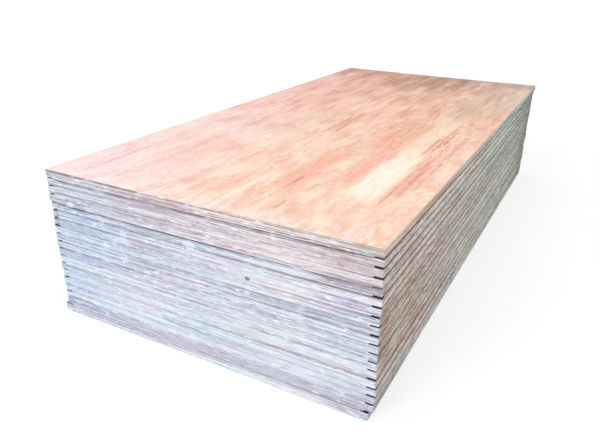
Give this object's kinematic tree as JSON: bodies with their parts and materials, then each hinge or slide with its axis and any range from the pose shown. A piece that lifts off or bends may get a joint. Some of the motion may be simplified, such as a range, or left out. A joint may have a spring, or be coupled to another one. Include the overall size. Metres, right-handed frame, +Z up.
{
  "type": "stack of plywood sheets",
  "caption": "Stack of thick plywood floor sheets lying flat, with ply-built edges and a rabbet under both long edges of each sheet.",
  "frame": {"origin": "centre of the stack's footprint, on the floor", "axes": "+Z up through the stack, +X along the sheets' length and face grain, +Y across their width"},
  "size_m": [2.449, 1.1794, 0.532],
  "materials": {
    "face_veneer": "bare sanded face veneer, matte",
    "sawn_edge": "pale sawn ply edges, matte"
  },
  "bodies": {
    "root": {"sheet_01": "sawn_edge", "sheet_02": "sawn_edge", "sheet_03": "sawn_edge", "sheet_04": "sawn_edge", "sheet_05": "sawn_edge", "sheet_06": "sawn_edge", "sheet_07": "sawn_edge", "sheet_08": "sawn_edge", "sheet_09": "sawn_edge", "sheet_10": "sawn_edge", "sheet_11": "sawn_edge", "sheet_12": "sawn_edge", "sheet_13": "sawn_edge", "sheet_14": "sawn_edge", "sheet_15": "sawn_edge", "sheet_16": "sawn_edge", "sheet_17": "sawn_edge", "sheet_18": "sawn_edge", "sheet_19": "face_veneer"}
  },
  "joints": []
}
